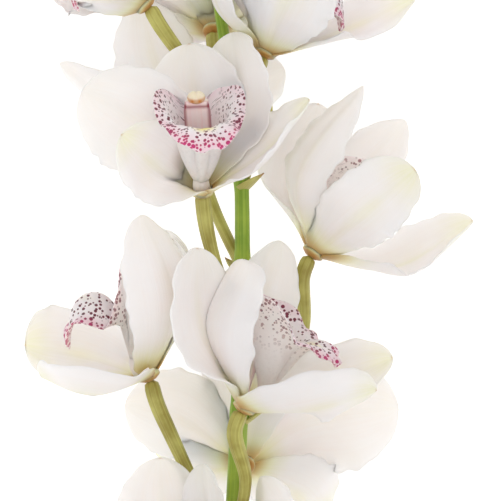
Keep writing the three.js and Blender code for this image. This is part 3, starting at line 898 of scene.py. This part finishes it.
def makeColumn(bloomFrame):
    form = columnForm
    facing, up, right = bloomFrame["facing"], bloomFrame["up"], bloomFrame["right"]
    start, span = form["start"], form["length"] - form["start"]

    def liftAt(t):
        return 2 + form["rise"] * max(0, t) ** 0.8 - 3 * max(0, t - 0.7)

    def centreAt(t):
        return bloomFrame["at"] + facing * (start + span * t) + up * liftAt(t)

    def pointAt(t, angle):
        s = min(1, max(0, (t - 0.04) / 0.92))
        girth = 0.62 + 0.38 * smooth(0, 0.7, s) - 0.12 * smooth(0.85, 1, s)
        girth *= min(1, (t / 0.04) ** 0.5) * min(1, ((1 - t) / 0.04) ** 0.5)
        x, y = math.cos(angle), math.sin(angle)
        if y < 0:
            y *= 0.45 + 0.35 * abs(x) ** 2  # the underside is hollowed between two narrow wings
        x = math.copysign(abs(x) ** 0.85, x)
        return centreAt(s * 0.93) + (right * x * form["halfWidth"] + up * y * form["halfHeight"]) * girth

    body = addTube(60, 36, pointAt)

    def amountsAt(k):
        p = body.data.vertices[k].co * 1000 - stemShift - bloomFrame["at"]
        s = (p.dot(facing) - start) / span
        under = smooth(0.8, -0.8, p.dot(up) - liftAt(s))
        wing = smooth(0.7, 0.88, abs(p.dot(right)) / form["halfWidth"]) * smooth(0.3, 0.6, s)
        lipOfStigma = bump(s, 0.885, 0.018) * under
        return min(1, 0.7 * wing * under + 0.8 * lipOfStigma), 1 - under, 0

    tint(body, amountsAt)
    dress(body, skin["columnWax"])

    tip = centreAt(0.97)
    cap = form["cap"]

    def capAt(t, angle):
        a = math.pi * t
        ring = math.sin(a) ** 0.8
        x, y = math.cos(angle) * ring, math.sin(angle) * ring
        cleft = form["cleft"] * bump(x, 0, 0.22) * max(0, -math.cos(a))
        return tip + right * x * cap[0] + up * (y * cap[1] + 0.4) - facing * (math.cos(a) * cap[2] + cleft)

    lid = addTube(32, 40, capAt)

    def capAmounts(k):
        p = lid.data.vertices[k].co * 1000 - stemShift - tip
        x, y, z = p.dot(right) / cap[0], p.dot(up) / cap[1], p.dot(facing) / cap[2]
        band = 0.5 * smooth(0.5, 0.1, z) * smooth(0.7, 0, y)
        pollen = 0.5 * bump(abs(x), 0.42, 0.2) * bump(z, -0.1, 0.4) * smooth(0.3, -0.2, y)
        return band + pollen, 0, 0

    tint(lid, capAmounts)
    dress(lid, skin["capWax"])
    return [body, lid]


stalkForm = {
    "path": [
        [-14, -400, -80], [-10, -300, -43], [-6, -210, -13], [-3, -130, 0], [0, -60, 0],
        [1, 0, 0], [0, 40, -2], [-5, 80, -9], [-11, 120, -16], [-16, 160, -18], [-19, 192, -18],
    ],
    "cutRadius": 5.4,
    "cutHollow": 0.3,
    "tipRadius": 1.8,
    "rings": 220,
    "sides": 32,
    "nodeSwell": 0.5,
    "nodeLength": 0.006,  # of the whole stalk
    "facets": 5,
    "facetDepth": 0.012,
}
pedicelForm = {
    "radius": 2.6,
    "ovaryRadius": 3.4,
    "budRadius": 2.4,
    "leaveRise": 1.1,  # how much it leans along the stalk where it leaves and where it arrives
    "arriveRise": 0.7,
    "straight": 9,
    "reach": 0.35,
    "ribs": 6,
    "ribDepth": 0.05,
    "rings": 40,
    "sides": 36,
}
bractForm = {
    "length": 11,
    "halfWidth": 5,
    "cup": 50,
    "sunk": 1.2,  # into the stalk
    "clear": [1.3, 2.6],  # of the pedicel, at its middle and tip
    "places": [-0.45, 0.2, 0.75],  # of foot, middle and tip, as shares of the length
    "thickness": 0.8,
    "thinEdge": 0.5,
    "rows": 16,
    "columns": 12,
}

stalkPath = splinePath(stalkForm["path"])


def stalkRadius(t):
    return stalkForm["cutRadius"] + (stalkForm["tipRadius"] - stalkForm["cutRadius"]) * t**1.5


def stalkAt(y):
    low, high = 0.0, 1.0
    for _ in range(30):
        middle = (low + high) / 2
        if stalkPath.at(middle).y < y:
            low = middle
        else:
            high = middle
    return low, stalkPath.at(low), stalkRadius(low)


def pedicelPath(item, bloomFrame):
    form = pedicelForm
    _, foot, radius = stalkAt(item["node"])
    end = bloomFrame["at"]
    outwards = end - foot
    outwards.y = 0
    outwards.normalize()
    span = (end - foot).length
    arrive = (bloomFrame["facing"] + Vector((0, form["arriveRise"], 0))).normalized()
    leave = (outwards + Vector((0, form["leaveRise"], 0))).normalized()
    first = foot + outwards * radius * 0.4
    last = end + arrive * 0.8
    if "bend" in item:
        return splinePath([first, item["bend"], end - arrive * form["straight"], last])
    reach = form["reach"]
    return bezierPath(first, first + leave * span * reach, end - arrive * span * reach, last)


def carried(path):
    # a side direction carried along a path without twist
    side = path.direction(0).orthogonal().normalized()
    sides = []
    for k in range(101):
        along = path.direction(k / 100)
        side = (side - along * side.dot(along)).normalized()
        sides.append(side.copy())
    return sides


def makePedicel(item, bloomFrame, endRadius):
    form = pedicelForm
    path = pedicelPath(item, bloomFrame)
    sides = carried(path)

    def pointAt(t, angle):
        radius = form["radius"] + (endRadius - form["radius"]) * smooth(0.3, 0.9, t)
        radius *= 1 - 0.22 * smooth(0.95, 1, t)
        radius *= min(1, (t / 0.02) ** 0.5) * min(1, max(0, (1 - t) / 0.02) ** 0.5)
        rib = form["ribDepth"] * smooth(0.35, 0.7, t) * math.cos(form["ribs"] * angle)
        side = sides[round(t * 100)]
        top = path.direction(t).cross(side)
        return path.at(t) + (side * math.cos(angle) + top * math.sin(angle)) * radius * (1 + rib)

    piece = addTube(form["rings"], form["sides"], pointAt)
    return dress(piece, skin["pedicelSkin"])


def makeBract(item):
    form = bractForm
    _, foot, radius = stalkAt(item["node"])
    outwards = Vector(item["at"]) - foot
    outwards.y = 0
    outwards.normalize()
    leave = (outwards + Vector((0, pedicelForm["leaveRise"], 0))).normalized()
    away = (outwards - leave * outwards.dot(leave)).normalized()
    surface = foot + outwards * radius
    girth, length = pedicelForm["radius"], form["length"]
    below, middle, tip = form["places"]
    midrib = splinePath([
        foot + outwards * (radius - form["sunk"]) + Vector((0, length * below, 0)),
        surface + away * (girth + form["clear"][0]) + leave * length * middle,
        surface + away * (girth + form["clear"][1]) + leave * length * tip,
    ])

    def pointAt(i, j):
        t, u = i / form["rows"], 2 * j / form["columns"] - 1
        along = midrib.direction(t)
        top = -away + along * away.dot(along)
        top.normalize()
        half = form["halfWidth"] * max(0.08, 1 - t**1.6)
        arc = form["cup"] * degrees
        return (
            midrib.at(t)
            + top.cross(along) * half * math.sin(arc * u) / arc
            + top * half * (1 - math.cos(arc * u)) / arc
        )

    piece = addGrid(form["rows"], form["columns"], pointAt)

    def share(k):
        return k // (form["columns"] + 1) / form["rows"]

    tint(piece, lambda k: (smooth(0.7, 1, share(k)), 0, 0))
    thicken(piece, form["thickness"], form["thinEdge"], lambda k: 1 - share(k))
    return dress(piece, skin["bractSkin"])


def makeStalk():
    form = stalkForm
    sides = carried(stalkPath)
    nodes = [stalkAt(item["node"])[0] for item in blooms + buds]
    ends = {0: 0, 1: 0.9, form["rings"] - 1: 0.85, form["rings"]: 0}  # the rings that close it, as shares

    def pointAt(t, angle):
        s = min(1, max(0, (t - 2 / form["rings"]) / (1 - 4 / form["rings"])))
        radius = stalkRadius(s) + sum(form["nodeSwell"] * bump(s, n, form["nodeLength"]) for n in nodes)
        radius *= 1 + form["facetDepth"] * math.cos(form["facets"] * angle + 3 * s)
        ring = round(t * form["rings"])
        radius *= ends.get(ring, 1)
        along, side = stalkPath.direction(s), sides[round(s * 100)]
        around = side * math.cos(angle) + along.cross(side) * math.sin(angle)
        return stalkPath.at(s) + along * (form["cutHollow"] if ring == 0 else 0) + around * radius

    piece = addTube(form["rings"], form["sides"], pointAt)
    foot = inFrame(stalkPath.at(0))
    cutRadius = form["cutRadius"] * 0.001
    tint(piece, lambda k: (1 if (piece.data.vertices[k].co - foot).length < cutRadius * 0.95 else 0, 0, 0))
    return dress(piece, skin["stalkSkin"])


budForm = {
    "sizes": [0.3, 0.55, 0.86, 1, 0.88, 0.58, 0.28, 0.08],
    "places": [0, 0.06, 0.2, 0.42, 0.65, 0.85, 0.96, 1],
    "seamDepth": 0.09,
    "flattening": 0.92,
}


def makeBud(item, budFrame):
    sizes, places, length = budForm["sizes"], budForm["places"], item["length"]

    def pointAt(t, angle):
        s = 1 - (1 - t) ** 1.15
        k = max(i for i in range(7) if places[i] <= s)
        part = (s - places[k]) / (places[k + 1] - places[k])
        ease = 0.35 * smooth(0, 1, part) + 0.65 * part
        size = (sizes[k] + (sizes[k + 1] - sizes[k]) * ease) * length / 4
        size *= min(1, (t / 0.05) ** 0.5) * min(1, ((1 - t) / 0.03) ** 0.5)
        turn = angle + 0.5 * s
        seam = bump(math.remainder(turn, 2 * math.pi / 3), 0, 0.13)
        size *= 1 - budForm["seamDepth"] * seam * math.sin(math.pi * s) ** 0.5
        ring = budFrame["right"] * math.cos(angle) + budFrame["up"] * math.sin(angle) * budForm["flattening"]
        return budFrame["at"] + budFrame["facing"] * length * s + ring * size

    piece = addTube(48, 48, pointAt)

    def amountsAt(k):
        p = piece.data.vertices[k].co * 1000 - stemShift - budFrame["at"]
        s = p.dot(budFrame["facing"]) / length
        turn = math.atan2(p.dot(budFrame["up"]), p.dot(budFrame["right"])) + 0.5 * s
        seam = bump(math.remainder(turn, 2 * math.pi / 3), 0, 0.2)
        return min(1, 0.45 * smooth(0.3, 1, s) + 0.5 * seam), 0, 0

    tint(piece, amountsAt)
    return dress(piece, skin["budWax"])


for bloom in blooms:
    bloomFrame = frameOf(bloom)
    name = bloom["name"]
    tepals = [makeTepal(bloomFrame, key, bloom.get(key)) for key in plainWhorl]
    joinAs(name + "_whorl", [*makeCup(bloomFrame), *tepals], name + "_tepals")
    joinAs(name + "_trumpet", [makeLip(bloomFrame, bloom.get("lip"))], name + "_lip")
    joinAs(name + "_style", makeColumn(bloomFrame), name + "_column")
    pedicel = makePedicel(bloom, bloomFrame, pedicelForm["ovaryRadius"])
    joinAs(name + "_foot", [pedicel], name + "_pedicel")
print("blooms made")

for bud in buds:
    budFrame = frameOf({**bud, "up": [0, 0, 1]})
    joinAs(bud["name"] + "_egg", [makeBud(bud, budFrame)], bud["name"])
    pedicel = makePedicel(bud, budFrame, pedicelForm["budRadius"])
    joinAs(bud["name"] + "_foot", [pedicel], bud["name"] + "_pedicel")

bracts = [makeBract(item) for item in blooms + buds]
joinAs("stalk_and_bracts", [makeStalk(), *bracts], "stalk")
print("stalk and buds made")


studio = {
    "tableRadius": 4.0,
    "tableColour": (0.95, 0.95, 0.945, 1),
    "tableShade": (0.9, 0.9, 0.9, 1),
    "table": {"Roughness": 0.6, "Emission Color": (1, 1, 1, 1), "Emission Strength": 0.4},
    "sky": 0.87,
    "skyColour": (1.0, 0.985, 0.985, 1),
    "aim": (0, 0.09, 0.06),
    "panels": {
        "key": {"place": (-0.7, -0.1, 1.25), "power": 1.3, "size": 1.2},
        "fill": {"place": (0.15, -0.05, 1.6), "power": 1.7, "size": 1.4},
    },
    "cameraPlace": (4.6, -0.2, 1300),  # over the stalk's middle, in millimetres
    "fieldWidth": 220.4,
    "sensorWidth": 36,
}

bpy.ops.object.select_all(action="DESELECT")
bpy.ops.mesh.primitive_circle_add(vertices=96, radius=studio["tableRadius"], fill_type="NGON")
table = bpy.context.object
table.name = "table"
white = Finish("tableWhite", studio["table"])
grain = white.ramp(white.noise(white.solid(), 3.0, 2.0), 0.3, 0.7, 0, 0.15)
dress(table, white.end(white.blend(grain, studio["tableColour"], studio["tableShade"])))

world = bpy.data.worlds.new("studio")
bpy.context.scene.world = world
world.use_nodes = True
world.node_tree.nodes["Background"].inputs["Color"].default_value = studio["skyColour"]
world.node_tree.nodes["Background"].inputs["Strength"].default_value = studio["sky"]

for name, panelForm in studio["panels"].items():
    place = Vector(panelForm["place"])
    bpy.ops.object.light_add(type="AREA", location=place)
    panel = bpy.context.object
    panel.name = name
    panel.data.energy = panelForm["power"]
    panel.data.size = panelForm["size"]
    panel.rotation_euler = (Vector(studio["aim"]) - place).to_track_quat("-Z", "Y").to_euler()

cameraPlace = Vector(studio["cameraPlace"])
bpy.ops.object.camera_add(location=inFrame(cameraPlace), rotation=(0, 0, 0))
camera = bpy.context.object
camera.data.sensor_width = studio["sensorWidth"]
camera.data.lens = studio["sensorWidth"] * cameraPlace.z / studio["fieldWidth"]
camera.data.clip_end = 20
bpy.context.scene.camera = camera
bpy.context.scene.view_settings.view_transform = "Standard"
print("studio set")
